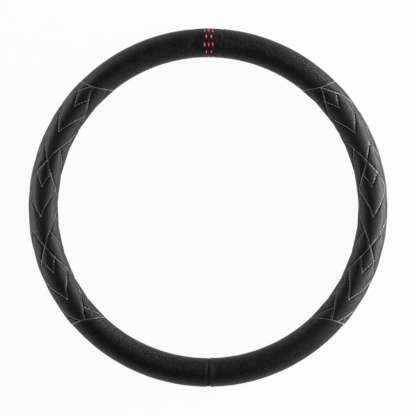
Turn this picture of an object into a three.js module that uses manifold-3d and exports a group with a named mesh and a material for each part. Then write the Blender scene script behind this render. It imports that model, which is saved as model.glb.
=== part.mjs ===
// Steering wheel cover: a skin of microfibre leather panels over a moulded rubber liner.
//
// Millimetres. The cover lies on its back, with its front face up along +Z, twelve o'clock at
// +Y and three o'clock at +X. The origin is on the ring's axis, on the surface it rests on.
//
// A place on the grip is given by two angles. The ring angle runs anticlockwise from three
// o'clock. The grip angle runs around the round section: 0 at the front, 90 at the outer rim,
// 180 at the back and -90 at the inner rim.

import * as THREE from 'three';
import { mergeVertices } from 'three/addons/utils/BufferGeometryUtils.js';
import Module from 'manifold-3d';

const wasm = await Module();
wasm.setup();

const { degToRad } = THREE.MathUtils;

// Ring and grip
const outerDiameter = 380;
const gripDiameter = 30.6;
const restFlatDepth = 0.3;

// Skin, with the slit that lets the cover over a wheel rim
const skinThickness = 1.6;
const slitFrontAngle = degToRad(-95);
const slitRearAngle = degToRad(210);

// Rubber liner
const linerThickness = 2;
const linerClearance = 0.3;
const linerLipReach = 1;

// Panels
const sidePanelLength = 272.6;
const sidePanelLift = degToRad(2.1);
const sideSeamLean = 2.8;
const sideSeamBow = 2.6;
const markerWidth = 31.8;
const bottomSeamOffset = 2.2;
const seamGap = 0.3;
const seamLipWidth = 1.6;
const seamLipDrop = 0.6;

// Quilting: rows of cells, each with two chevrons nested in its leading corner
const quiltPitch = 91.5;
const quiltRowStep = 27.2;
const quiltShift = 1.6;
const innerChevron = 0.305;
const outerChevron = 0.65;
const grooveWidth = 2.2;
const grooveDepth = 0.8;
const leftRowAngle = degToRad(11.5);
const leftRowTwist = degToRad(2);
const rightRowAngle = degToRad(3.6);
const rightRowTwist = degToRad(20);
const rightRowBow = degToRad(20);

// Red marker stitches: rows of three and two by turns, around the front and the outer rim
const stitchLength = 3.9;
const stitchWidth = 1.8;
const stitchHeight = 1.5;
const stitchClearance = 0.3;
const stitchRowStep = 8.75;
const firstStitchRowAngle = degToRad(-73.2);
const stitchRowCount = 7;
const tripleSpacing = 4.2;
const pairSpacing = 5.2;
const stitchShift = 0.7;

// Fineness of the facets
const ringStep = degToRad(6);
const gripStep = degToRad(19);
const quiltStep = 14;
const linerRingStep = degToRad(7.5);
const linerGripStep = degToRad(29);
const stitchSides = 6;
const stitchBands = 4;

// Sizes that follow
const gripRadius = gripDiameter / 2;
const meanRadius = outerDiameter / 2 - gripRadius;
const gripCentre = gripRadius - restFlatDepth;
const restHalfAngle = Math.acos(gripCentre / gripRadius);
const skinInnerRadius = gripRadius - skinThickness;
const linerOuterRadius = skinInnerRadius - linerClearance;
const linerInnerRadius = linerOuterRadius - linerThickness;
const top = Math.PI / 2;
const bottom = 3 * Math.PI / 2;
const turn = 2 * Math.PI;

// A seam lies at a base angle plus a length along the ring. The length stays the same at every
// grip angle, apart from a lean towards the outer rim and a bow towards both rims.
function sideSeam(base, side) {
  return {
    base,
    offset: side * sidePanelLength / 2,
    lean: side * sideSeamLean,
    bow: side * sideSeamBow,
  };
}

const seams = {
  markerRight: { base: top, offset: -markerWidth / 2, lean: 0, bow: 0 },
  markerLeft: { base: top, offset: markerWidth / 2, lean: 0, bow: 0 },
  leftTop: sideSeam(Math.PI - sidePanelLift, -1),
  leftBottom: sideSeam(Math.PI - sidePanelLift, 1),
  bottom: { base: bottom, offset: bottomSeamOffset, lean: 0, bow: 0 },
  rightBottom: sideSeam(turn + sidePanelLift, -1),
  rightTop: sideSeam(sidePanelLift, 1),
};

const leather = new THREE.MeshStandardMaterial({ color: 0x1d1c1e, roughness: 0.72, metalness: 0 });
const quiltedLeather = new THREE.MeshStandardMaterial({ color: 0x222123, roughness: 0.68, metalness: 0 });
const rubber = new THREE.MeshStandardMaterial({ color: 0x141414, roughness: 0.9, metalness: 0 });
const redThread = new THREE.MeshStandardMaterial({ color: 0xe1324b, roughness: 0.6, metalness: 0 });

// Distance from the ring's axis to the skin at a grip angle
function reachAt(gripAngle) {
  return meanRadius + gripRadius * Math.sin(gripAngle);
}

function seamAngle(seam, gripAngle, shift) {
  const outward = Math.sin(gripAngle);
  const length = seam.offset + seam.lean * outward + seam.bow * outward ** 2;
  return seam.base + (length + shift) / reachAt(gripAngle);
}

// A point at a radius from the grip's centre line, pressed flat where it meets the surface
function onGrip(ringAngle, gripAngle, radius) {
  const reach = meanRadius + radius * Math.sin(gripAngle);
  const height = Math.max(gripCentre + radius * Math.cos(gripAngle), 0);
  return new THREE.Vector3(reach * Math.cos(ringAngle), reach * Math.sin(ringAngle), height);
}

function evenSteps(from, to, longestStep) {
  const count = Math.ceil((to - from) / longestStep);
  return Array.from({ length: count + 1 }, (_, k) => from + (to - from) * k / count);
}

// Solids for joining and cutting

function toSolid(geometry) {
  const bare = new THREE.BufferGeometry();
  bare.setAttribute('position', geometry.getAttribute('position'));
  bare.setIndex(geometry.getIndex());
  const merged = mergeVertices(bare, 1e-4);
  return new wasm.Manifold(new wasm.Mesh({
    numProp: 3,
    vertProperties: new Float32Array(merged.getAttribute('position').array),
    triVerts: new Uint32Array(merged.getIndex().array),
  }));
}

function toGeometry(solid) {
  const { vertProperties, triVerts } = solid.getMesh();
  const geometry = new THREE.BufferGeometry();
  geometry.setAttribute('position', new THREE.BufferAttribute(vertProperties, 3));
  geometry.setIndex(new THREE.BufferAttribute(triVerts, 1));
  geometry.computeVertexNormals();
  return geometry;
}

// A patch is a piece of skin laid flat: points with a ring angle, a grip angle and a lift off
// the skin's surface, and triangles between them.
class Patch {
  constructor() {
    this.points = [];
    this.triangles = [];
    this.indexOf = new Map();
  }

  addPoint(point) {
    const key = `${point.ringAngle.toFixed(6)} ${point.gripAngle.toFixed(6)}`;
    if (!this.indexOf.has(key)) {
      this.indexOf.set(key, this.points.length);
      this.points.push(point);
    }
    return this.indexOf.get(key);
  }

  // Adds a convex polygon as a fan that faces out of the grip
  addPolygon(corners) {
    const ids = [...new Set(corners.map((corner) => this.addPoint(corner)))];
    if (ids.length < 3) return;
    const flat = ids.map((id) => new THREE.Vector2(this.points[id].gripAngle, this.points[id].ringAngle));
    const faceOut = THREE.ShapeUtils.area(flat) > 0;
    for (let k = 2; k < ids.length; k += 1) {
      this.triangles.push(faceOut ? [ids[0], ids[k - 1], ids[k]] : [ids[0], ids[k], ids[k - 1]]);
    }
  }

  // Edges that only one triangle uses, in that triangle's direction
  rim() {
    const edges = new Map();
    for (const [a, b, c] of this.triangles) {
      for (const [from, to] of [[a, b], [b, c], [c, a]]) {
        if (!edges.delete(`${to} ${from}`)) edges.set(`${from} ${to}`, [from, to]);
      }
    }
    return [...edges.values()];
  }

  // Wraps the patch on the grip and closes it down to a radius well inside the skin
  wrap() {
    const coreRadius = skinInnerRadius / 2;
    const outer = this.points.map((p) => onGrip(p.ringAngle, p.gripAngle, gripRadius + p.lift));
    const inner = this.points.map((p) => onGrip(p.ringAngle, p.gripAngle, coreRadius));
    const below = this.points.length;
    const index = this.triangles.flatMap(([a, b, c]) => [a, b, c, below + a, below + c, below + b]);
    // A wall's diagonal leans the same way on both sides of a seam
    for (const [from, to] of this.rim()) {
      const rising = this.points[from].gripAngle < this.points[to].gripAngle;
      const [upper, lower] = rising ? [from, to] : [to, from];
      index.push(to, from, below + lower, below + from, below + to, upper);
    }
    const geometry = new THREE.BufferGeometry().setFromPoints([...outer, ...inner]);
    geometry.setIndex(index);
    return toSolid(geometry);
  }
}

// Liner and the room for it

// Grip angles of the liner's arc, which runs a little past the skin at both lips of the slit
function linerAngles() {
  const reach = linerLipReach / linerOuterRadius;
  return evenSteps(slitFrontAngle - reach, slitRearAngle + reach, linerGripStep);
}

function sweepRound(profile) {
  const closed = [...profile, profile[0]];
  const geometry = new THREE.LatheGeometry(closed, Math.round(turn / linerRingStep));
  geometry.rotateX(-Math.PI / 2);
  return geometry;
}

function profilePoint(gripAngle, radius) {
  return new THREE.Vector2(
    meanRadius + radius * Math.sin(gripAngle),
    -gripCentre - radius * Math.cos(gripAngle),
  );
}

function linerSolid() {
  const angles = linerAngles();
  const outside = angles.map((angle) => profilePoint(angle, linerOuterRadius));
  const inside = angles.map((angle) => profilePoint(angle, linerInnerRadius)).reverse();
  return toSolid(sweepRound([...outside, ...inside]));
}

// The round space under the skin, with facets that match the liner's
function coreSolid() {
  const slitMiddle = (slitFrontAngle + slitRearAngle + turn) / 2;
  const angles = [...linerAngles(), slitMiddle];
  return toSolid(sweepRound(angles.map((angle) => profilePoint(angle, skinInnerRadius))));
}

// Plain panels

// Grip angles of a plain panel, with a flat band where the cover rests
function plainGripAngles() {
  return [
    ...evenSteps(slitFrontAngle, Math.PI - restHalfAngle, gripStep),
    ...evenSteps(Math.PI + restHalfAngle, slitRearAngle, gripStep),
  ];
}

// The skin between two seams, its edges rounded down into them. A lift above zero gives the
// same panel with thicker skin, and its edges slope on at the same rate.
function panelPatch(startSeam, endSeam, lift) {
  const span = seamAngle(endSeam, 0, 0) - seamAngle(startSeam, 0, 0);
  const shares = evenSteps(0, 1, ringStep / span);
  const slope = seamLipWidth * (1 + lift / seamLipDrop);
  const rows = plainGripAngles().map((gripAngle) => {
    const lip = slope / reachAt(gripAngle);
    const start = seamAngle(startSeam, gripAngle, seamGap / 2);
    const end = seamAngle(endSeam, gripAngle, -seamGap / 2);
    const inside = shares.map((share) => start + lip + share * (end - start - 2 * lip));
    return [
      { ringAngle: start, gripAngle, lift: -seamLipDrop },
      ...inside.map((ringAngle) => ({ ringAngle, gripAngle, lift })),
      { ringAngle: end, gripAngle, lift: -seamLipDrop },
    ];
  });
  const patch = new Patch();
  for (let row = 1; row < rows.length; row += 1) {
    for (let column = 1; column < rows[row].length; column += 1) {
      const [before, after] = [rows[row - 1], rows[row]];
      patch.addPolygon([before[column - 1], before[column], after[column], after[column - 1]]);
    }
  }
  return patch;
}

// Quilted panels

const leftQuilt = {
  start: seams.leftTop,
  end: seams.leftBottom,
  direction: 1,
  rowAngle: leftRowAngle,
  rowTwist: leftRowTwist,
  rowBow: 0,
};
const rightQuilt = {
  start: seams.rightBottom,
  end: { ...seams.rightTop, base: seams.rightBottom.base },
  direction: -1,
  rowAngle: rightRowAngle,
  rowTwist: rightRowTwist,
  rowBow: rightRowBow,
};

// Shares of a cell's side at which its mesh has lines: the valley of every crease, and even
// steps from one groove's edge to the next one's
function cellShares() {
  const side = Math.hypot(quiltPitch / 2, quiltRowStep);
  const slant = Math.atan2(quiltRowStep, quiltPitch / 2);
  const half = grooveWidth / 2 / (side * Math.sin(2 * slant));
  const creases = [0, innerChevron, outerChevron, 1];
  const between = creases.slice(1).flatMap((crease, k) => {
    return evenSteps(creases[k] + half, crease - half, quiltStep / side);
  });
  return [...creases, ...between].sort((a, b) => a - b);
}

// True on a cell's border and on its two chevrons, which turn at (crease, crease)
function isCreased(a, b) {
  const border = a === 0 || b === 0 || a === 1 || b === 1;
  return border || [innerChevron, outerChevron].some((crease) => Math.max(a, b) === crease);
}

// The point of cell (i, j) at shares a and b of its sides
function quiltPoint(quilt, i, j, a, b) {
  const travel = quiltShift + (i + a + j + b + 1) * quiltPitch / 2;
  const share = travel / sidePanelLength;
  const rowAngle = quilt.rowAngle + quilt.rowTwist * share + quilt.rowBow * share ** 2;
  return {
    ringAngle: quilt.start.base + quilt.direction * travel / meanRadius,
    gripAngle: rowAngle + (i + a - j - b) * quiltRowStep / gripRadius,
    lift: isCreased(a, b) ? -grooveDepth : 0,
  };
}

// The part of a polygon on one side of a grip angle; side is 1 to keep what lies above it
function clipPolygon(corners, bound, side) {
  return corners.flatMap((corner, k) => {
    const next = corners[(k + 1) % corners.length];
    const [here, there] = [corner, next].map((point) => side * (point.gripAngle - bound));
    const kept = here >= 0 ? [corner] : [];
    if (here * there < 0) {
      const share = here / (here - there);
      kept.push({
        ringAngle: corner.ringAngle + share * (next.ringAngle - corner.ringAngle),
        gripAngle: bound,
        lift: corner.lift + share * (next.lift - corner.lift),
      });
    }
    return kept;
  });
}

// Every quilted facet that reaches the panel, running on a little past its edges
function quiltPatch(quilt) {
  const shares = cellShares();
  const margin = (slitFrontAngle + turn - slitRearAngle) / 4;
  const cells = Math.ceil(sidePanelLength / quiltPitch) + 1;
  const patch = new Patch();
  const isOver = ({ ringAngle, gripAngle }) => ringAngle > seamAngle(quilt.start, gripAngle, -quiltStep)
    && ringAngle < seamAngle(quilt.end, gripAngle, quiltStep);
  for (let i = -cells; i <= cells; i += 1) {
    for (let j = -cells; j <= cells; j += 1) {
      for (let m = 1; m < shares.length; m += 1) {
        for (let n = 1; n < shares.length; n += 1) {
          const [a0, a1, b0, b1] = [shares[m - 1], shares[m], shares[n - 1], shares[n]];
          const corners = [[a0, b0], [a1, b0], [a1, b1], [a0, b1]]
            .map(([a, b]) => quiltPoint(quilt, i, j, a, b));
          const above = clipPolygon(corners, slitFrontAngle - margin, 1);
          const within = clipPolygon(above, slitRearAngle + margin, -1);
          if (within.some(isOver)) patch.addPolygon(within);
        }
      }
    }
  }
  return patch;
}

// The quilted skin, cut to the outline of a plain panel between the same seams
function quiltSolid(quilt) {
  const outline = panelPatch(quilt.start, quilt.end, seamLipDrop);
  return quiltPatch(quilt).wrap().intersect(outline.wrap());
}

// Marker stitches

function stitchGeometry(margin) {
  const geometry = new THREE.SphereGeometry(1, stitchSides, stitchBands);
  geometry.scale(stitchWidth / 2 + margin, stitchLength / 2 + margin, stitchHeight / 2 + margin);
  return geometry;
}

// Where a stitch sits: half sunk in the skin, its length around the grip
function stitchPlace(across, gripAngle) {
  const ringAngle = top - across / reachAt(gripAngle);
  const place = onGrip(ringAngle, gripAngle, gripRadius);
  const outward = place.clone().sub(onGrip(ringAngle, gripAngle, 0)).normalize();
  const alongRing = new THREE.Vector3(Math.sin(ringAngle), -Math.cos(ringAngle), 0);
  const around = outward.clone().cross(alongRing);
  return new THREE.Matrix4().makeBasis(alongRing, around, outward).setPosition(place);
}

function stitchPlaces() {
  const places = [];
  for (let row = 0; row < stitchRowCount; row += 1) {
    const gripAngle = firstStitchRowAngle + row * stitchRowStep / gripRadius;
    const steps = row % 2 === 0 ? [-tripleSpacing, 0, tripleSpacing] : [-pairSpacing / 2, pairSpacing / 2];
    steps.forEach((step, column) => {
      places.push({
        name: `marker_stitch_${row + 1}_${column + 1}`,
        matrix: stitchPlace(stitchShift + step, gripAngle),
      });
    });
  }
  return places;
}

// Assembly

const group = new THREE.Group();
const core = coreSolid();

function addPiece(name, geometry, material) {
  const mesh = new THREE.Mesh(geometry, material);
  mesh.name = name;
  group.add(mesh);
  return mesh;
}

function addPanel(name, startSeam, endSeam) {
  const solid = panelPatch(startSeam, endSeam, 0).wrap();
  addPiece(name, toGeometry(solid.subtract(core)), leather);
}

function addQuiltedPanel(name, quilt) {
  addPiece(name, toGeometry(quiltSolid(quilt).subtract(core)), quiltedLeather);
}

function addMarkerPanel(places) {
  let panel = panelPatch(seams.markerRight, seams.markerLeft, 0).wrap().subtract(core);
  for (const { matrix } of places) {
    panel = panel.subtract(toSolid(stitchGeometry(stitchClearance).applyMatrix4(matrix)));
  }
  addPiece('marker_panel', toGeometry(panel), leather);
}

const places = stitchPlaces();
addMarkerPanel(places);
addPanel('top_left_panel', seams.markerLeft, seams.leftTop);
addQuiltedPanel('left_quilted_panel', leftQuilt);
addPanel('bottom_left_panel', seams.leftBottom, seams.bottom);
addPanel('bottom_right_panel', seams.bottom, seams.rightBottom);
addQuiltedPanel('right_quilted_panel', rightQuilt);
addPanel('top_right_panel', seams.rightTop, seams.markerRight);
addPiece('rubber_liner', toGeometry(linerSolid()), rubber);
for (const { name, matrix } of places) {
  addPiece(name, stitchGeometry(0), redThread).applyMatrix4(matrix);
}

export default group;
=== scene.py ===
"""Steering wheel cover: microfibre leather panels sewn over a moulded rubber liner.

Metres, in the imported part's frame. The cover lies on its back with its front face up,
twelve o'clock at +Y. A place on the grip is given by a ring angle, anticlockwise from three
o'clock, and a grip angle around the round section: 0 at the front, 90 degrees at the outer
rim, 180 at the back and -90 at the inner rim.
"""

import logging
import math
from collections.abc import Callable, Iterable, Sequence
from dataclasses import dataclass, field
from enum import Enum
from functools import partial
from itertools import product

import bmesh
import bpy
import numpy as np
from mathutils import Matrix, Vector


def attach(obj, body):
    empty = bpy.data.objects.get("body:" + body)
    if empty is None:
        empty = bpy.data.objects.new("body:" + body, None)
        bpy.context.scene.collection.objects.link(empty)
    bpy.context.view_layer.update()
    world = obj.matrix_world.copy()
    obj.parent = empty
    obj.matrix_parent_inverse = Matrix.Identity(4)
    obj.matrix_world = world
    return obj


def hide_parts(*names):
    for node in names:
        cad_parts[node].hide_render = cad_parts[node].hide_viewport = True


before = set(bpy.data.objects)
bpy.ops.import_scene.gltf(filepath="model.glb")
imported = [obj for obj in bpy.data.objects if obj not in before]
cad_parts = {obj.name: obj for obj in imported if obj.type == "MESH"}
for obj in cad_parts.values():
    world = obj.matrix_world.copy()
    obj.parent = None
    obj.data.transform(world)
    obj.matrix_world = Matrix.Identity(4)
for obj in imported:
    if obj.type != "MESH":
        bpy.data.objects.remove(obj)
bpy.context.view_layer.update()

log = logging.getLogger("steering_wheel_cover")

MM = 0.001
BODY = "root"
UV_NAME = "thread"
RISE_NAME = "rise"
OUTWARD_NAME = "outward"
NodeAdder = Callable[..., bpy.types.Node]


# Colours and nodes


def linear(hex_colour: str) -> tuple[float, float, float, float]:
    """Turns an sRGB colour into a linear one.

    Args:
        hex_colour: six hex digits after a hash.

    Returns:
        Linear red, green and blue, and an alpha of 1.
    """
    parts = [int(hex_colour[k : k + 2], 16) / 255 for k in (1, 3, 5)]
    bent = [c / 12.92 if c <= 0.04045 else ((c + 0.055) / 1.055) ** 2.4 for c in parts]
    return (*bent, 1.0)


def per_metre(size_mm: float) -> float:
    """Gives the texture scale at which one feature of a pattern is size_mm wide."""
    return 1 / (size_mm * MM)


def add_node(tree: bpy.types.NodeTree, kind: str, inputs: dict | None = None, **settings):
    """Adds a node with its settings and its links.

    Args:
        tree: the tree that the node joins.
        kind: the node's type name.
        inputs: by input name or number, a value, a socket to link, or a node, whose first
            output in use is linked.
        settings: properties of the node.

    Returns:
        The new node.
    """
    node = tree.nodes.new(kind)
    for key, value in settings.items():
        setattr(node, key, value)
    for key, value in (inputs or {}).items():
        if isinstance(value, bpy.types.Node):
            value = next(socket for socket in value.outputs if socket.enabled)
        if isinstance(value, bpy.types.NodeSocket):
            tree.links.new(value, node.inputs[key])
        else:
            node.inputs[key].default_value = value
    return node


def new_material(name: str) -> tuple[bpy.types.Material, NodeAdder]:
    """Makes an empty node material.

    Args:
        name: the material's name.

    Returns:
        The material, and add_node for its tree.
    """
    material = bpy.data.materials.new(name)
    material.use_nodes = True
    material.node_tree.nodes.clear()
    return material, partial(add_node, material.node_tree)


# Finishes


@dataclass(frozen=True)
class LeatherFinish:
    """Microfibre leather: a pressed pebble grain on a napped polyurethane face."""

    # It gives the eye a soft, matt black with small uneven glints, and painted shade: its creases
    # and rolled edges are painted near-black
    name: str
    pore_and_crease_shade_colour: str
    nap_colour: str
    rubbed_colour: str
    grain_mm: float = 1.7
    grain_depth_mm: float = 0.34
    pebble_weight: float = 0.6
    pore_share: float = 0.6
    mottle_mm: float = 14.0
    mottle_weight: float = 0.4
    roughness: float = 0.4
    crease_roughness: float = 0.9
    specular: float = 0.34

    def material(self) -> bpy.types.Material:
        """Builds the leather.

        Returns:
            The material, which reads Object coordinates and the panel's own rise.
        """
        material, add = new_material(self.name)
        place = add("ShaderNodeTexCoord").outputs["Object"]
        # Real pebbles are about 0.5 mm, and are drawn three times as coarse to show
        pebbles = add(
            "ShaderNodeTexVoronoi",
            {"Vector": place, "Scale": per_metre(self.grain_mm), "Randomness": 1.0},
            feature="SMOOTH_F1",
        )
        pores = add(
            "ShaderNodeTexNoise",
            {"Vector": place, "Scale": per_metre(self.grain_mm * self.pore_share), "Detail": 3.0},
        )
        grain = add(
            "ShaderNodeMath",
            {0: pebbles, 1: -self.pebble_weight, 2: pores},
            operation="MULTIPLY_ADD",
        )
        # Wide patches, where the nap lies another way and looks a little lighter
        mottle = add(
            "ShaderNodeTexNoise",
            {"Vector": place, "Scale": per_metre(self.mottle_mm), "Detail": 4.0, "Roughness": 0.6},
        )
        mottled = add(
            "ShaderNodeMath", {0: mottle, 1: self.mottle_weight, 2: grain}, operation="MULTIPLY_ADD"
        )
        shade = add("ShaderNodeMapRange", {"Value": mottled, "From Min": 0.38, "From Max": 0.7})
        pore_and_crease_shade = linear(self.pore_and_crease_shade_colour)
        body = add(
            "ShaderNodeMix",
            {"Factor": shade, "A": pore_and_crease_shade, "B": linear(self.nap_colour)},
            data_type="RGBA",
        )
        # The rise is 0 down in a crease, 0.5 on the open skin and 1 on a rubbed lip
        rise = add("ShaderNodeAttribute", attribute_name=RISE_NAME).outputs["Fac"]
        rubbed = add("ShaderNodeMapRange", {"Value": rise, "From Min": 0.55, "From Max": 1.4})
        worn = add(
            "ShaderNodeMix",
            {"Factor": rubbed, "A": body, "B": linear(self.rubbed_colour)},
            data_type="RGBA",
        )
        # Low skin, down in a crease or where an edge rolls under, is painted near-black with the
        # pore colour: painted shade, standing in for the light that does not reach there
        unshaded_open_skin = add("ShaderNodeMapRange", {"Value": rise, "From Max": 0.4})
        crease_painted_shade = add(
            "ShaderNodeMix", {"Factor": unshaded_open_skin, "A": pore_and_crease_shade, "B": worn}, data_type="RGBA"
        )
        # The tops of the pebbles are pressed smooth and glint
        gloss = add(
            "ShaderNodeMapRange",
            {"Value": grain, "To Min": self.roughness + 0.12, "To Max": self.roughness - 0.08},
        )
        # Down in a crease the nap was never pressed smooth, so it stays dull
        dulled = add(
            "ShaderNodeMix",
            {"Factor": unshaded_open_skin, "A": self.crease_roughness, "B": gloss},
            data_type="FLOAT",
        )
        bump = add(
            "ShaderNodeBump",
            {"Height": grain, "Strength": 1.0, "Distance": self.grain_depth_mm * MM},
        )
        shader = add(
            "ShaderNodeBsdfPrincipled",
            {
                "Base Color": crease_painted_shade,
                "Roughness": dulled,
                "IOR": 1.45,
                "Specular IOR Level": self.specular,
                "Normal": bump,
            },
        )
        add("ShaderNodeOutputMaterial", {"Surface": shader})
        return material


@dataclass(frozen=True)
class RubberFinish:
    """Moulded rubber: a dull, slightly dusty black with the fine pitting of a blasted mould."""

    # It gives the eye a flat dark grey lip without glints, apart from the leather
    name: str
    colour: str
    dust_colour: str
    pit_mm: float = 0.9
    pit_depth_mm: float = 0.05
    dust_mm: float = 30.0
    roughness: float = 0.78
    roughness_spread: float = 0.1

    def material(self) -> bpy.types.Material:
        """Builds the rubber.

        Returns:
            The material, which reads Object coordinates.
        """
        material, add = new_material(self.name)
        place = add("ShaderNodeTexCoord").outputs["Object"]
        # Real pits are finer than a millimetre, and are drawn coarser to show
        pits = add(
            "ShaderNodeTexNoise",
            {"Vector": place, "Scale": per_metre(self.pit_mm), "Detail": 2.0},
        )
        dust = add(
            "ShaderNodeTexNoise",
            {"Vector": place, "Scale": per_metre(self.dust_mm), "Detail": 5.0},
        )
        patchy = add("ShaderNodeMapRange", {"Value": dust, "From Min": 0.45, "From Max": 0.75})
        colour = add(
            "ShaderNodeMix",
            {"Factor": patchy, "A": linear(self.colour), "B": linear(self.dust_colour)},
            data_type="RGBA",
        )
        low, high = self.roughness - self.roughness_spread, self.roughness + self.roughness_spread
        gloss = add("ShaderNodeMapRange", {"Value": pits, "To Min": low, "To Max": high})
        bump = add(
            "ShaderNodeBump",
            {"Height": pits, "Strength": 0.5, "Distance": self.pit_depth_mm * MM},
        )
        shader = add(
            "ShaderNodeBsdfPrincipled",
            {
                "Base Color": colour,
                "Roughness": gloss,
                "IOR": 1.5,
                "Specular IOR Level": 0.3,
                "Normal": bump,
            },
        )
        add("ShaderNodeOutputMaterial", {"Surface": shader})
        return material


@dataclass(frozen=True)
class ThreadFinish:
    """Twisted polyester sewing thread, whose plies catch the light by turns."""

    # It gives the eye bright flecks along each stitch, with dark turns between the plies, painted
    # into the colour: painted highlight on the ply tops and painted shade in the grooves
    name: str
    groove_shade_colour: str
    ply_colour: str
    plies: int = 3
    ply_depth_mm: float = 0.08
    roughness: float = 0.5
    groove_dulling: float = 0.2
    specular: float = 0.4
    sheen: float = 0.3

    def material(self) -> bpy.types.Material:
        """Builds the thread.

        Returns:
            The material, which reads the stitch's own UV map: turns of twist along it, and
            its share of the way round.
        """
        material, add = new_material(self.name)
        lay = add("ShaderNodeSeparateXYZ", {0: add("ShaderNodeUVMap", uv_map=UV_NAME)}).outputs
        turns = add(
            "ShaderNodeMath",
            {0: lay["Y"], 1: float(self.plies), 2: lay["X"]},
            operation="MULTIPLY_ADD",
        )
        phase = add("ShaderNodeMath", {0: turns, 1: math.tau}, operation="MULTIPLY")
        ply = add("ShaderNodeMath", {0: phase}, operation="COSINE")
        height = add("ShaderNodeMapRange", {"Value": ply, "From Min": -1.0})
        # The colour follows the ply height: painted shade in the grooves between the plies and
        # painted highlight on the ply tops
        colour = add(
            "ShaderNodeMix",
            {"Factor": height, "A": linear(self.groove_shade_colour), "B": linear(self.ply_colour)},
            data_type="RGBA",
        )
        bump = add(
            "ShaderNodeBump",
            {"Height": height, "Strength": 0.6, "Distance": self.ply_depth_mm * MM},
        )
        dull = self.roughness + self.groove_dulling
        gloss = add(
            "ShaderNodeMapRange", {"Value": height, "To Min": dull, "To Max": self.roughness}
        )
        shader = add(
            "ShaderNodeBsdfPrincipled",
            {
                "Base Color": colour,
                "Roughness": gloss,
                "IOR": 1.55,
                "Specular IOR Level": self.specular,
                "Sheen Weight": self.sheen,
                "Sheen Roughness": 0.4,
                "Normal": bump,
            },
        )
        add("ShaderNodeOutputMaterial", {"Surface": shader})
        return material


@dataclass(frozen=True)
class FloorFinish:
    """Matt white paper: it shows white to the camera and keeps the object's shadow."""

    # It gives the eye a white ground that only dims softly beside the cover
    name: str = "matt white paper"
    colour: str = "#f2f2f1"
    fibre_mm: float = 2.0
    fibre_depth_mm: float = 0.05
    shadow_share: float = 0.045

    def material(self) -> bpy.types.Material:
        """Builds the paper.

        Returns:
            The material, which reads Object coordinates.
        """
        material, add = new_material(self.name)
        place = add("ShaderNodeTexCoord").outputs["Object"]
        fibre = add(
            "ShaderNodeTexNoise",
            {"Vector": place, "Scale": per_metre(self.fibre_mm), "Detail": 2.0},
        )
        bump = add(
            "ShaderNodeBump",
            {"Height": fibre, "Strength": 0.2, "Distance": self.fibre_depth_mm * MM},
        )
        paper = add("ShaderNodeBsdfDiffuse", {"Color": linear(self.colour), "Normal": bump})
        white = add("ShaderNodeEmission", {"Strength": 1.0})
        share = add(
            "ShaderNodeMath",
            {0: seen_as_background(add), 1: 1 - self.shadow_share},
            operation="MULTIPLY",
        )
        mixed = add("ShaderNodeMixShader", {0: share, 1: paper, 2: white})
        add("ShaderNodeOutputMaterial", {"Surface": mixed})
        return material


def seen_as_background(add: NodeAdder) -> bpy.types.Node:
    """Gives a node that is 1 for rays that show the background.

    Args:
        add: add_node, for the material or world that the nodes join.

    Returns:
        The node: 1 for camera, glossy and transmission rays, and 0 for the rest.
    """
    rays = add("ShaderNodeLightPath").outputs
    total = rays["Is Camera Ray"]
    for name in ("Is Glossy Ray", "Is Transmission Ray"):
        total = add("ShaderNodeMath", {0: total, 1: rays[name]}, operation="ADD", use_clamp=True)
    return total


# The grip and its seams


@dataclass(frozen=True)
class Grip:
    """The round section, bent into the ring, and the slit along its inner back."""

    mean_radius: float = 174.7 * MM
    radius: float = 15.3 * MM
    centre: float = 15.0 * MM
    slit_front: float = math.radians(-95)
    slit_rear: float = math.radians(210)

    def reach(self, grip_angle: np.ndarray) -> np.ndarray:
        """Distance from the ring's axis to the skin at a grip angle."""
        return self.mean_radius + self.radius * np.sin(grip_angle)

    def place(self, ring_angle: np.ndarray, grip_angle: np.ndarray, radius) -> np.ndarray:
        """Puts points on the grip, pressed flat where they would go below the floor.

        Args:
            ring_angle: angles around the ring.
            grip_angle: angles around the section.
            radius: distances from the section's centre.

        Returns:
            The points, one in each row.
        """
        reach = self.mean_radius + radius * np.sin(grip_angle)
        height = np.maximum(self.centre + radius * np.cos(grip_angle), 0)
        return np.stack([reach * np.cos(ring_angle), reach * np.sin(ring_angle), height], -1)

    def arc(self, inset: float, count: int) -> np.ndarray:
        """Even grip angles over the skin, from an inset at one lip of the slit to the other."""
        reach = inset / self.radius
        return np.linspace(self.slit_front + reach, self.slit_rear - reach, count)

    def outward(self, ring_angle: np.ndarray, grip_angle: np.ndarray) -> np.ndarray:
        """The skin's outward directions at places on the grip."""
        side = np.sin(grip_angle)
        return np.stack(
            [side * np.cos(ring_angle), side * np.sin(ring_angle), np.cos(grip_angle)], -1
        )


GRIP = Grip()


@dataclass(frozen=True)
class Seam:
    """A seam at a base angle plus a length along the ring, which may lean and bow."""

    base: float
    offset: float
    lean: float = 0.0
    bow: float = 0.0

    def angle(self, grip_angle: np.ndarray, shift: float = 0.0) -> np.ndarray:
        """The seam's ring angles.

        Args:
            grip_angle: angles around the section.
            shift: a further length along the ring.

        Returns:
            One ring angle for each grip angle.
        """
        outward = np.sin(grip_angle)
        length = self.offset + self.lean * outward + self.bow * outward**2 + shift
        return self.base + length / GRIP.reach(grip_angle)


# The quilted panels' middles lie this far above three and nine o'clock
LIFT = math.radians(2.1)
SIDE_HALF_LENGTH, SIDE_LEAN, SIDE_BOW = 136.3 * MM, 2.8 * MM, 2.6 * MM
MARKER_HALF_WIDTH, BOTTOM_SHIFT = 15.9 * MM, 2.2 * MM


def side_seam(base: float, side: int) -> Seam:
    """The seam at one end of a quilted side panel, on the side given by 1 or -1."""
    return Seam(base, side * SIDE_HALF_LENGTH, side * SIDE_LEAN, side * SIDE_BOW)


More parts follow.
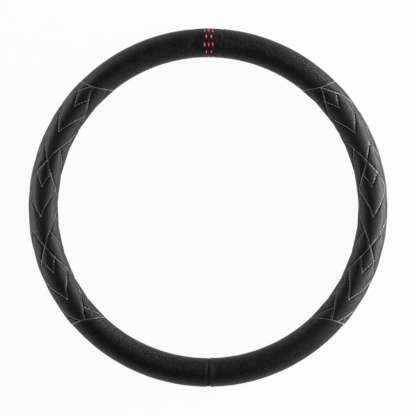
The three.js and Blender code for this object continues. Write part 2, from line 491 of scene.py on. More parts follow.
MARKER_RIGHT = Seam(math.pi / 2, -MARKER_HALF_WIDTH)
MARKER_LEFT = Seam(math.pi / 2, MARKER_HALF_WIDTH)
LEFT_TOP = side_seam(math.pi - LIFT, -1)
LEFT_BOTTOM = side_seam(math.pi - LIFT, 1)
BOTTOM = Seam(3 * math.pi / 2, BOTTOM_SHIFT)
RIGHT_BOTTOM = side_seam(math.tau + LIFT, -1)
RIGHT_TOP_AFTER = side_seam(math.tau + LIFT, 1)
RIGHT_TOP = side_seam(LIFT, 1)


# Meshes


def mesh_object(
    name: str,
    points: np.ndarray,
    faces: Sequence[Sequence[int]],
    edges: Sequence[Sequence[int]] = (),
) -> bpy.types.Object:
    """Makes a mesh object at the origin, with smooth faces.

    Args:
        name: the object's name.
        points: one point in each row.
        faces: corner numbers of each face.
        edges: loose edges, for a mesh that is a set of paths.

    Returns:
        The object, linked to the scene.
    """
    mesh = bpy.data.meshes.new(name)
    mesh.from_pydata([tuple(p) for p in points], list(edges), [tuple(f) for f in faces])
    mesh.shade_smooth()
    made = bpy.data.objects.new(name, mesh)
    bpy.context.scene.collection.objects.link(made)
    return made


def set_values(target: bpy.types.Object, name: str, values: np.ndarray) -> None:
    """Stores a number or a vector for each point of a mesh, under a name."""
    kind = "FLOAT" if values.ndim == 1 else "FLOAT_VECTOR"
    attribute = target.data.attributes.new(name, kind, "POINT")
    key = "value" if values.ndim == 1 else "vector"
    attribute.data.foreach_set(key, values.astype(np.float32).ravel())


def rim_edges(faces: Iterable[Sequence[int]]) -> list[tuple[int, int]]:
    """Finds the open edges of a sheet, in the direction of their faces.

    Args:
        faces: corner numbers of each face.

    Returns:
        A pair of corner numbers for each edge that only one face uses.
    """
    used: dict[tuple[int, int], None] = {}
    for face in faces:
        for a, b in zip(face, (*face[1:], face[0])):
            if (b, a) in used:
                del used[(b, a)]
            else:
                used[(a, b)] = None
    return list(used)


def grid_corners(grid: np.ndarray) -> list[np.ndarray]:
    """The values of a grid at the four corners of each of its cells, in turn."""
    return [grid[:-1, :-1], grid[:-1, 1:], grid[1:, 1:], grid[1:, :-1]]


def graded(length: float, step: float, near_ends: Sequence[float]) -> np.ndarray:
    """Spaces places along a length, closer together near both ends.

    Args:
        length: the whole length.
        step: the longest step in the middle.
        near_ends: distances from an end that get a place, from 0 up.

    Returns:
        The places, from 0 to length.
    """
    edge = np.array(near_ends)
    count = math.ceil((length - 2 * edge[-1]) / step) + 1
    middle = np.linspace(edge[-1], length - edge[-1], count)
    return np.concatenate([edge[:-1], middle, (length - edge[:-1])[::-1]])


@dataclass
class Sheet:
    """Skin laid flat: shares of the way between two seams, grip angles, and faces."""

    share: np.ndarray
    grip_angle: np.ndarray
    faces: list[tuple[int, ...]]


@dataclass
class Spots:
    """Places on a panel, with their distances from its seams and from the slit."""

    ring_angle: np.ndarray
    grip_angle: np.ndarray
    from_start: np.ndarray
    from_end: np.ndarray
    from_slit: np.ndarray


@dataclass
class SkinPanel:
    """A panel of the skin, sewn to its neighbours at both ends and hemmed at the slit."""

    name: str
    start: Seam
    end: Seam
    cad_node: str
    slot: str
    finish: bpy.types.Material
    thickness: float = 1.6 * MM
    gap: float = 0.3 * MM
    roll: float = 1.2 * MM
    start_lip: float = 0.18 * MM
    end_lip: float = 0.18 * MM
    lip_place: float = 1.9 * MM
    lip_width: float = 1.1 * MM
    hem_roll: float = 0.9 * MM
    unevenness: float = 0.03 * MM
    # Whole numbers of waves round the ring, their slant around the grip, and their phase
    waves: tuple[tuple[int, float, float], ...] = ((23, 1.7, 0.0), (41, -2.3, 1.0))
    rise_range: float = 1.6 * MM
    ring_step: float = 2.4 * MM
    grip_step: float = 1.3 * MM
    edge_places: tuple[float, ...] = tuple(
        d * MM for d in (0, 0.05, 0.18, 0.4, 0.7, 1.0, 1.4, 1.9, 2.5, 3.4)
    )

    def length(self) -> float:
        """Length along the ring at the front of the grip."""
        return float(self.end.angle(0.0) - self.start.angle(0.0)) * GRIP.mean_radius

    def width(self) -> float:
        """Width around the grip, from one lip of the slit to the other."""
        return (GRIP.slit_rear - GRIP.slit_front) * GRIP.radius

    def lines(self) -> tuple[np.ndarray, np.ndarray]:
        """Places of the mesh lines: shares across the panel, and grip angles."""
        length, width = self.length(), self.width()
        shares = graded(length, self.ring_step, self.edge_places) / length
        around = graded(width, self.grip_step, self.edge_places) / GRIP.radius
        return shares, GRIP.slit_front + around

    def sheet(self) -> Sheet:
        """Lays the panel out flat.

        Returns:
            An even sheet of four-cornered faces.
        """
        shares, angles = self.lines()
        columns, rows = len(shares), len(angles)
        corners = grid_corners(np.arange(rows * columns).reshape(rows, columns))
        faces = np.stack([c.ravel() for c in corners], -1)[:, ::-1]
        share, grip_angle = np.meshgrid(shares, angles)
        return Sheet(share.ravel(), grip_angle.ravel(), [tuple(f) for f in faces.tolist()])

    def spots(self, ring_angle: np.ndarray, grip_angle: np.ndarray) -> Spots:
        """Measures how far places lie from the panel's edges.

        Args:
            ring_angle: angles around the ring.
            grip_angle: angles around the section.

        Returns:
            The places with their distances.
        """
        reach = GRIP.reach(grip_angle)
        return Spots(
            ring_angle,
            grip_angle,
            (ring_angle - self.start.angle(grip_angle, self.gap / 2)) * reach,
            (self.end.angle(grip_angle, -self.gap / 2) - ring_angle) * reach,
            np.minimum(grip_angle - GRIP.slit_front, GRIP.slit_rear - grip_angle) * GRIP.radius,
        )

    def relief(self, spots: Spots) -> np.ndarray:
        """Height of the panel's own pattern, above the plain skin."""
        return np.zeros_like(spots.ring_angle)

    def height(self, spots: Spots) -> np.ndarray:
        """Height of the skin above the grip's surface.

        Args:
            spots: places on the panel.

        Returns:
            The height at each place: seams roll under, with a slight lip behind the roll,
            hems roll under, and the skin between has the unevenness of a hand-pulled cover.
        """
        total = self.relief(spots)
        edges = ((spots.from_start, self.start_lip), (spots.from_end, self.end_lip))
        for distance, lip in edges:
            under = np.clip(self.roll - distance, 0, self.roll)
            total -= self.roll - np.sqrt(self.roll**2 - under**2)
            total += lip * np.exp(-(((distance - self.lip_place) / self.lip_width) ** 2))
        under = np.clip(self.hem_roll - spots.from_slit, 0, self.hem_roll)
        total -= self.hem_roll - np.sqrt(self.hem_roll**2 - under**2)
        uneven = sum(
            np.sin(count * spots.ring_angle + turn * spots.grip_angle + phase)
            for count, turn, phase in self.waves
        )
        return total + self.unevenness * uneven

    def build(self) -> bpy.types.Object:
        """Makes the panel: its face, its rolled edges and its back, as one closed skin.

        Returns:
            The panel, riding on the body and standing for its CAD node.
        """
        sheet = self.sheet()
        start = self.start.angle(sheet.grip_angle, self.gap / 2)
        end = self.end.angle(sheet.grip_angle, -self.gap / 2)
        spots = self.spots(start + sheet.share * (end - start), sheet.grip_angle)
        height = self.height(spots)
        face = GRIP.place(spots.ring_angle, spots.grip_angle, GRIP.radius + height)
        back = GRIP.place(spots.ring_angle, spots.grip_angle, GRIP.radius - self.thickness)
        below = len(face)
        faces = [*sheet.faces, *(tuple(below + k for k in reversed(f)) for f in sheet.faces)]
        faces += [(b, a, below + a, below + b) for a, b in rim_edges(sheet.faces)]
        made = mesh_object(self.name, np.concatenate([face, back]), faces)
        # The rise sets the leather's painted shade: low skin in creases and rolled edges is painted
        # near-black, and the back, given 0, is painted in that shade all over
        rise = np.clip(0.5 + height / self.rise_range, 0, 1)
        set_values(made, RISE_NAME, np.concatenate([rise, np.zeros(below)]))
        made.data.materials.append(self.finish)
        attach(made, BODY)
        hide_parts(self.cad_node)
        return made

    def declare(self, made: bpy.types.Object, liner: bpy.types.Object, sewn: list) -> None:
        """Rounds the panel's width and length, and keeps neither."""
        round(self.width(), 4)
        round(self.length(), 4)


class Mirror(Enum):
    """The way a quilted panel's pattern runs around the ring."""

    ANTICLOCKWISE = 1
    CLOCKWISE = -1


@dataclass
class Path:
    """A line to sew along: its points and the skin's outward direction at each."""

    points: np.ndarray
    outward: np.ndarray

    @classmethod
    def on_grip(cls, ring_angle: np.ndarray, grip_angle: np.ndarray, radius) -> "Path":
        """A path through places on the grip, at a radius from the section's centre."""
        places = (ring_angle, grip_angle)
        return cls(GRIP.place(*places, radius), GRIP.outward(*places))


@dataclass
class QuiltedPanel(SkinPanel):
    """A padded panel, quilted in rows of cells with two chevrons nested in each."""

    direction: Mirror = Mirror.ANTICLOCKWISE
    row_angle: float = 0.0
    row_twist: float = 0.0
    row_bow: float = 0.0
    nominal_length: float = 272.6 * MM
    pitch: float = 91.5 * MM
    row_step: float = 27.2 * MM
    shift: float = 1.6 * MM
    chevrons: tuple[float, ...] = (0.305, 0.65)
    groove_depth: float = 1.1 * MM
    groove_half: float = 0.85 * MM
    pillow: float = 0.6 * MM
    pillow_reach: float = 4.2 * MM
    pillow_base: float = -0.08 * MM
    near_lines: tuple[float, ...] = tuple(d * MM for d in (0.0, 0.3, 0.6, 0.95, 1.4, 2.1))
    cell_step: float = 2.2 * MM
    # The thread lies a little above its groove, more so at the sides, and leans to the front
    thread_share_above: float = 0.32
    thread_lift: float = 0.06 * MM
    thread_side_lift: float = 0.85 * MM
    thread_lean: float = 0.45 * MM
    lean_turn: float = 0.3
    thread_from_seam: float = 1.1 * MM
    thread_from_slit: float = 1.0 * MM
    path_steps: int = 120
    shortest_run: int = 8

    def cells(self) -> range:
        """Numbers of the cells, either way, that can touch the panel."""
        count = math.ceil(self.nominal_length / self.pitch) + 2
        return range(-count, count + 1)

    def across(self) -> float:
        """Distance between opposite sides of a cell."""
        side = math.hypot(self.pitch / 2, self.row_step)
        return side * math.sin(2 * math.atan2(self.row_step, self.pitch / 2))

    def to_angles(self, p: np.ndarray, q: np.ndarray) -> tuple[np.ndarray, np.ndarray]:
        """Turns places in the pattern, counted in cells along both of its ways, to angles."""
        travel = self.shift + (p + q + 1) * self.pitch / 2
        ring_angle = self.start.base + self.direction.value * travel / GRIP.mean_radius
        return ring_angle, self.row(travel) + (p - q) * self.row_step / GRIP.radius

    def from_angles(self, ring_angle, grip_angle) -> tuple[np.ndarray, np.ndarray]:
        """Turns angles back to places in the pattern, counted in cells."""
        travel = (ring_angle - self.start.base) * self.direction.value * GRIP.mean_radius
        total = (travel - self.shift) * 2 / self.pitch - 1
        apart = (grip_angle - self.row(travel)) * GRIP.radius / self.row_step
        return (total + apart) / 2, (total - apart) / 2

    def row(self, travel: np.ndarray) -> np.ndarray:
        """The grip angle of the pattern's middle row, which creeps around the grip."""
        share = travel / self.nominal_length
        return self.row_angle + self.row_twist * share + self.row_bow * share**2

    def from_lines(self, spots: Spots) -> np.ndarray:
        """Distances to the nearest quilting line.

        Args:
            spots: places on the panel.

        Returns:
            The distance at each place.
        """
        p, q = self.from_angles(spots.ring_angle, spots.grip_angle)
        a, b = p % 1, q % 1
        across = self.across()
        nearest = np.minimum.reduce([a, 1 - a, b, 1 - b]) * across
        for turn in self.chevrons:
            da, db = a - turn, b - turn
            corner = np.hypot((da + db) * self.pitch / 2, (da - db) * self.row_step)
            for away, other in ((da, db), (db, da)):
                nearest = np.minimum(
                    nearest, np.where(other <= 0, np.abs(away) * across, corner)
                )
        return nearest

    def relief(self, spots: Spots) -> np.ndarray:
        """Height of the padding between the sewn lines, and of the sharp crease in each."""
        away = self.from_lines(spots)
        padding = self.pillow * (1 - np.exp(-away / self.pillow_reach))
        groove = self.groove_depth * np.exp(-((away / self.groove_half) ** 2))
        return padding - groove + self.pillow_base

    def pattern_lines(self) -> np.ndarray:
        """Places of the mesh lines within one cell: close beside each sewn line."""
        across = self.across()
        creases = (0.0, *self.chevrons, 1.0)
        near = np.array(self.near_lines) / across
        places = [crease + sign * near for crease in creases for sign in (-1, 1)]
        for before, after in zip(creases, creases[1:]):
            low, high = before + near[-1], after - near[-1]
            count = math.ceil((high - low) * across / self.cell_step) + 1
            places.append(np.linspace(low, high, count))
        flat = np.concatenate(places)
        return np.unique(np.round(flat[(flat >= 0) & (flat < 1 - 1e-9)], 7))

    def sheet(self) -> Sheet:
        """Lays the panel out flat, on a mesh that follows the sewn lines.

        Returns:
            A sheet whose faces follow the pattern, cut along the seams and the slit.
        """
        cell = self.pattern_lines()
        places = np.concatenate([k + cell for k in self.cells()])
        p, q = np.meshgrid(places, places)
        ring_angle, grip_angle = self.to_angles(p, q)
        start = self.start.angle(grip_angle, self.gap / 2)
        end = self.end.angle(grip_angle, -self.gap / 2)
        length = self.length()
        x = (ring_angle - start) / (end - start) * length
        y = (grip_angle - GRIP.slit_front) * GRIP.radius
        spare = 4 * self.cell_step
        near = (x > -spare) & (x < length + spare) & (y > -spare) & (y < self.width() + spare)
        corners = grid_corners(np.arange(p.size).reshape(p.shape))
        kept = np.logical_and.reduce(grid_corners(near))
        quads = np.stack([c[kept] for c in corners], -1)
        if self.direction is Mirror.CLOCKWISE:
            quads = quads[:, ::-1]
        used, quads = np.unique(quads, return_inverse=True)
        quads = quads.reshape(-1, 4)
        cut = bmesh.new()
        spots = [cut.verts.new((x.flat[k], y.flat[k], 0)) for k in used]
        for quad in quads.tolist():
            cut.faces.new([spots[k] for k in quad])
        self.cut_lines(cut, length)
        bmesh.ops.triangulate(cut, faces=[f for f in cut.faces if len(f.verts) > 4])
        cut.verts.index_update()
        flat = np.array([v.co for v in cut.verts], float)
        faces = [tuple(v.index for v in f.verts) for f in cut.faces]
        cut.free()
        return Sheet(flat[:, 0] / length, GRIP.slit_front + flat[:, 1] / GRIP.radius, faces)

    def cut_lines(self, cut: bmesh.types.BMesh, length: float) -> None:
        """Cuts a flat sheet along the panel's edges, with further lines beside them.

        Args:
            cut: the sheet, which is changed.
            length: the panel's length, along x.
        """
        for axis, whole in ((Vector((1, 0, 0)), length), (Vector((0, 1, 0)), self.width())):
            for inset in self.edge_places:
                for place, side in ((inset, -1), (whole - inset, 1)):
                    bmesh.ops.bisect_plane(
                        cut,
                        geom=[*cut.verts, *cut.edges, *cut.faces],
                        dist=1e-7,
                        plane_co=axis * place,
                        plane_no=axis * side,
                        clear_outer=inset == 0,
                    )

    def paths(self, thread: float) -> list[Path]:
        """Gives the lines that the quilting is sewn along.

        Args:
            thread: the thread's diameter.

        Returns:
            A path for each stretch of line on the panel.
        """
        cells = self.cells()
        fine = np.linspace(cells.start, cells.stop, self.path_steps * len(cells))
        found: list[Path] = []
        for k in range(cells.start, cells.stop + 1):
            fixed = np.full_like(fine, float(k))
            found += self.sewn(fixed, fine, thread) + self.sewn(fine, fixed, thread)
        for i, j, turn in product(cells, cells, self.chevrons):
            walk = np.linspace(0, turn, max(int(self.path_steps * turn), self.shortest_run))
            still = np.full_like(walk, turn)
            found += self.sewn(i + still, j + walk, thread)
            found += self.sewn(i + walk, j + still, thread)
        return found

    def sewn(self, p: np.ndarray, q: np.ndarray, thread: float) -> list[Path]:
        """Cuts one line of the pattern to the parts that lie on the panel.

        Args:
            p: places along the line, counted in cells one way.
            q: the same, the other way.
            thread: the thread's diameter.

        Returns:
            A path for each part of the line that is long enough to sew.
        """
        spots = self.spots(*self.to_angles(p, q))
        from_seam = np.minimum(spots.from_start, spots.from_end)
        inside = (from_seam > self.thread_from_seam) & (spots.from_slit > self.thread_from_slit)
        paths: list[Path] = []
        for run in np.split(np.arange(len(p)), np.flatnonzero(~inside)):
            run = run[inside[run]]
            if len(run) < self.shortest_run:
                continue
            part = self.spots(spots.ring_angle[run], spots.grip_angle[run])
            lift = self.thread_lift + self.thread_side_lift * np.sin(2 * part.grip_angle) ** 2
            radius = GRIP.radius + self.height(part) + lift + self.thread_share_above * thread
            lean = np.tanh(part.grip_angle / self.lean_turn) * self.thread_lean / GRIP.radius
            paths.append(Path.on_grip(part.ring_angle, part.grip_angle - lean, radius))
        return paths


@dataclass
class MarkerPanel(SkinPanel):
    """The short centring panel, dented under each of its raised stitches."""

    roll: float = 0.8 * MM
    ring_step: float = 0.6 * MM
    grip_step: float = 0.6 * MM
    start_lip: float = -0.12 * MM
    end_lip: float = -0.1 * MM
    row_count: int = 7
    row_step: float = 8.75 * MM
    first_row: float = math.radians(-73.2)
    triple: tuple[float, ...] = (-4.2 * MM, 0.0, 4.2 * MM)
    pair: tuple[float, ...] = (-2.6 * MM, 2.6 * MM)
    centre_shift: float = 0.7 * MM
    stitch_depth: float = 0.05 * MM
    path_steps: int = 60
    dent_depth: float = 0.75 * MM
    dent_half_width: float = 1.45 * MM
    dent_half_length: float = 2.5 * MM

    def stitch_rows(self) -> list[tuple[float, list[float]]]:
        """Gives each row's grip angle with the places of its stitches across the panel."""
        rows = []
        for k in range(self.row_count):
            across = self.triple if k % 2 == 0 else self.pair
            angle = self.first_row + k * self.row_step / GRIP.radius
            rows.append((angle, [self.centre_shift + x for x in across]))
        return rows

    def relief(self, spots: Spots) -> np.ndarray:
        """Height of the skin where the stitches pull it down."""
        total = np.zeros_like(spots.ring_angle)
        across = (math.pi / 2 - spots.ring_angle) * GRIP.reach(spots.grip_angle)
        for angle, places in self.stitch_rows():
            along = (spots.grip_angle - angle) * GRIP.radius / self.dent_half_length
            for place in places:
                away = np.hypot((across - place) / self.dent_half_width, along)
                total = np.minimum(total, -self.dent_depth * np.exp(-(away**4)))
        return total

    def paths(self) -> list[Path]:
        """Gives a path around the grip through each column of stitches."""
        found = []
        rows = self.stitch_rows()
        for first in (0, 1):
            angles = [angle for angle, _ in rows[first::2]]
            around = np.linspace(angles[0], angles[-1], self.path_steps * len(angles))
            for place in rows[first][1]:
                ring_angle = math.pi / 2 - place / GRIP.reach(around)
                found.append(Path.on_grip(ring_angle, around, GRIP.radius - self.stitch_depth))
        return found


# What repeats along a path


@dataclass(frozen=True)
class Strand:
    """One stitch of twisted thread, lying along x with its ends dipped into the skin."""

    length: float
    width: float
    thickness: float
    dip: float
    plies: int = 3
    lobe: float = 0.0
    twist_length: float = 2.2 * MM
    fullness: float = 3.2
    bluntness: float = 0.55
    sides: int = 6
    rings: int = 5

    def build(self, name: str) -> bpy.types.Object:
        """Makes the stitch.

        Args:
            name: the object's name.

        Returns:
            A closed spindle with a UV map: turns of twist along it, and its share around.
        """
        half = self.length / 2
        along = -np.cos(np.linspace(0, math.pi, self.rings + 2))[1:-1]
        turns = along * half / self.twist_length
        around = np.arange(self.sides) / self.sides
        share, angle = np.meshgrid(along, around * math.tau, indexing="ij")
        ply = np.cos(self.plies * angle + math.tau * turns[:, None])
        size = (1 - np.abs(share) ** self.fullness) ** self.bluntness * (1 + self.lobe * ply)
        rows = np.stack(
            [
                share * half,
                size * np.cos(angle) * self.width / 2,
                size * np.sin(angle) * self.thickness / 2 - self.dip * np.abs(share) ** 3,
            ],
            -1,
        ).reshape(-1, 3)
        tips = np.array([[-half, 0, -self.dip], [half, 0, -self.dip]])
        first, last = len(rows), len(rows) + 1
        end, base = half / self.twist_length, (self.rings - 1) * self.sides
        faces, maps = [], []
        for side in range(self.sides):
            after = (side + 1) % self.sides
            left, right = side / self.sides, (side + 1) / self.sides
            for ring in range(self.rings - 1):
                here, there = ring * self.sides, (ring + 1) * self.sides
                low, high = turns[ring], turns[ring + 1]
                faces.append((here + after, there + after, there + side, here + side))
                maps += [(low, right), (high, right), (high, left), (low, left)]
            faces += [(after, side, first), (base + side, base + after, last)]
            maps += [(turns[0], right), (turns[0], left), (-end, left)]
            maps += [(turns[-1], left), (turns[-1], right), (end, right)]
        made = mesh_object(name, np.concatenate([rows, tips]), faces)
        layer = made.data.uv_layers.new(name=UV_NAME)
        layer.data.foreach_set("uv", np.array(maps, np.float32).ravel())
        return made


class Repeater:
    """Repeats one small part along paths, with its x along the path and its z outward."""

    def __init__(self) -> None:
        """Builds the node tree."""
        self.tree = bpy.data.node_groups.new("repeat along paths", "GeometryNodeTree")
        self.sockets: dict[str, str] = {}
        face = self.tree.interface
        for name, kind in (
            ("Paths", "Geometry"),
            ("Part", "Object"),
            ("Pitch", "Float"),
            ("Size Spread", "Float"),
            ("Seed", "Int"),
            ("Finish", "Material"),
        ):
            made = face.new_socket(name, in_out="INPUT", socket_type=f"NodeSocket{kind}")
            self.sockets[name] = made.identifier
        face.new_socket("Parts", in_out="OUTPUT", socket_type="NodeSocketGeometry")
        self.link_up(partial(add_node, self.tree))

    def link_up(self, add: NodeAdder) -> None:
        """Adds the nodes: paths to curves, even places, one part on each, made real.

        Args:
            add: add_node, for the tree.
        """
        given = add("NodeGroupInput").outputs
        curves = add("GeometryNodeMeshToCurve", {"Mesh": given["Paths"]})
        places = add(
            "GeometryNodeResampleCurve", {"Curve": curves, "Length": given["Pitch"]}, mode="LENGTH"
        )
        outward = add(
            "GeometryNodeInputNamedAttribute", {"Name": OUTWARD_NAME}, data_type="FLOAT_VECTOR"
        )
        turned = add(
            "FunctionNodeAxesToRotation",
            {"Primary Axis": outward, "Secondary Axis": add("GeometryNodeInputTangent")},
            primary_axis="Z",
            secondary_axis="X",
        )
        low, high = (
            add("ShaderNodeMath", {0: 1.0, 1: given["Size Spread"]}, operation=way)
            for way in ("SUBTRACT", "ADD")
        )
        size = add(
            "FunctionNodeRandomValue", {2: low, 3: high, "Seed": given["Seed"]}, data_type="FLOAT"
        )
        part = add("GeometryNodeObjectInfo", {"Object": given["Part"]}).outputs["Geometry"]
        put = add(
            "GeometryNodeInstanceOnPoints",
            {"Points": places, "Instance": part, "Rotation": turned, "Scale": size},
        )
        real = add("GeometryNodeRealizeInstances", {"Geometry": put})
        dressed = add("GeometryNodeSetMaterial", {"Geometry": real, "Material": given["Finish"]})
        add("NodeGroupOutput", {"Parts": dressed})

    def along(
        self,
        name: str,
        paths: Sequence[Path],
        part: bpy.types.Object,
        pitch: float,
        finish: bpy.types.Material,
        spread: float = 0.0,
        seed: int = 1,
    ) -> bpy.types.Object:
        """Repeats a part along paths and keeps the result as a plain mesh.

        Args:
            name: the new piece's name.
            paths: the lines to follow.
            part: the part, which is removed afterwards.
            pitch: the distance from one part to the next.
            finish: the material.
            spread: how far a part's size may be off, as a share.
            seed: the seed of those sizes.

        Returns:
            The new piece, riding on the body.
        """
        points = np.concatenate([path.points for path in paths])
        outward = np.concatenate([path.outward for path in paths])
        ends = np.cumsum([len(path.points) for path in paths])
        edges = np.stack([np.arange(len(points) - 1), np.arange(1, len(points))], -1)
        kept = ~np.isin(edges[:, 1], ends)
        line = mesh_object(f"{name}_line", points, [], edges[kept].tolist())
        set_values(line, OUTWARD_NAME, outward)
        modifier = line.modifiers.new("repeat", "NODES")
        modifier.node_group = self.tree
        chosen = {
            "Part": part,
            "Pitch": pitch,
            "Size Spread": spread,
            "Seed": seed,
            "Finish": finish,
        }
        for key, value in chosen.items():
            modifier[self.sockets[key]] = value
        seen = line.evaluated_get(bpy.context.evaluated_depsgraph_get())
        mesh = bpy.data.meshes.new_from_object(seen)
        line.modifiers.clear()
        mesh.name = name
        mesh.shade_smooth()
        made = bpy.data.objects.new(name, mesh)
        bpy.context.scene.collection.objects.link(made)
        if not mesh.materials:
            mesh.materials.append(finish)
        for spent in (line, part):
            old = spent.data
            bpy.data.objects.remove(spent)
            bpy.data.meshes.remove(old)
        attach(made, BODY)
        log.info("%s: %d faces", name, len(mesh.polygons))
        return made


# The liner


@dataclass
class Liner:
    """The moulded rubber ring inside the skin, ribbed inside so that it grips the rim."""

    finish: bpy.types.Material
    outer: float = 13.4 * MM
    thickness: float = 2.0 * MM
    lip_reach: float = 1.0 * MM
    ridges_per_turn: int = 52
    ridge_height: float = 0.25 * MM
    ring_steps: int = 180
    arc_steps: int = 156
    rib_pitch: float = 5.5 * MM
    rib_width: float = 1.6 * MM
    rib_height: float = 0.35 * MM
    rib_bite: float = 0.1 * MM
    rib_inset: float = 3.0 * MM
    rib_steps: int = 16
    rib_path_points: int = 721
    lip_steps: int = 8

    def angles(self, steps: int, inset: float = 0.0) -> np.ndarray:
        """Grip angles along the liner's arc, from lip to lip."""
        reach = (self.lip_reach - inset) / self.outer
        return np.linspace(GRIP.slit_front - reach, GRIP.slit_rear + reach, steps + 1)

    def profile(self) -> tuple[np.ndarray, np.ndarray]:
        """Gives the section's outline.

        Returns:
            Grip angles and radii: the plain outside, a round lip, the finely ridged inside,
            and the other lip.
        """
        half = self.thickness / 2
        middle = self.outer - half
        arc = self.angles(self.arc_steps, inset=half)
        inside = arc[::-1]
        ridge = self.ridge_height * (0.5 + 0.5 * np.cos(self.ridges_per_turn * inside))
        round_lip = np.linspace(0, math.pi, self.lip_steps + 1)[1:-1]
        swing, rise = half / middle * np.sin(round_lip), half * np.cos(round_lip)
        angle = np.concatenate([arc, arc[-1] + swing, inside, arc[0] - swing])
        outside = np.full(len(arc), self.outer)
        radius = np.concatenate(
            [outside, middle + rise, self.outer - self.thickness + ridge, middle - rise]
        )
        return angle, radius

    def build(self) -> bpy.types.Object:
        """Makes the liner.

        Returns:
            The closed ring, riding on the body and standing for its CAD node.
        """
        angle, radius = self.profile()
        rows, columns = self.ring_steps, len(angle)
        ring = np.arange(rows) * math.tau / rows
        points = GRIP.place(
            np.repeat(ring, columns), np.tile(angle, rows), np.tile(radius, rows)
        )
        grid = np.arange(rows * columns).reshape(rows, columns)
        after, beside = np.roll(grid, -1, 0), np.roll(grid, -1, 1)
        faces = np.stack(
            [grid.ravel(), beside.ravel(), np.roll(after, -1, 1).ravel(), after.ravel()], -1
        )
        made = mesh_object("rubber_ring", points, faces.tolist())
        made.data.materials.append(self.finish)
        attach(made, BODY)
        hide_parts("rubber_liner")
        return made

    def rib(self) -> bpy.types.Object:
        """Makes one rib: a low bar across the inside, in its own x, y and z."""
        arc = self.angles(self.rib_steps, inset=self.rib_inset)
        base = self.outer - self.thickness + self.rib_bite
        tops = base - self.rib_height - self.rib_bite
        section = ((-0.5, base), (-0.3, tops), (0.3, tops), (0.5, base))
        points = np.array(
            [
                (x * self.rib_width, radius * math.sin(a), radius * math.cos(a))
                for a, (x, radius) in product(arc, section)
            ]
        )
        faces = []
        for k in range(len(arc) - 1):
            for side in range(4):
                here, there = 4 * k, 4 * (k + 1)
                turned = (side + 1) % 4
                faces.append((here + side, here + turned, there + turned, there + side))
        last = 4 * (len(arc) - 1)
        faces += [(3, 2, 1, 0), (last, last + 1, last + 2, last + 3)]
        return mesh_object("rib", points, faces)

    def ribs(self, repeater: Repeater) -> bpy.types.Object:
        """Repeats the rib around the ring.

        Args:
            repeater: the tool that repeats it.

        Returns:
            All ribs as one piece.
        """
        ring = np.linspace(0, math.tau, self.rib_path_points)
        path = Path.on_grip(ring, np.zeros_like(ring), 0.0)
        made = repeater.along("liner_ribs", [path], self.rib(), self.rib_pitch, self.finish)
        return made


# Sewing


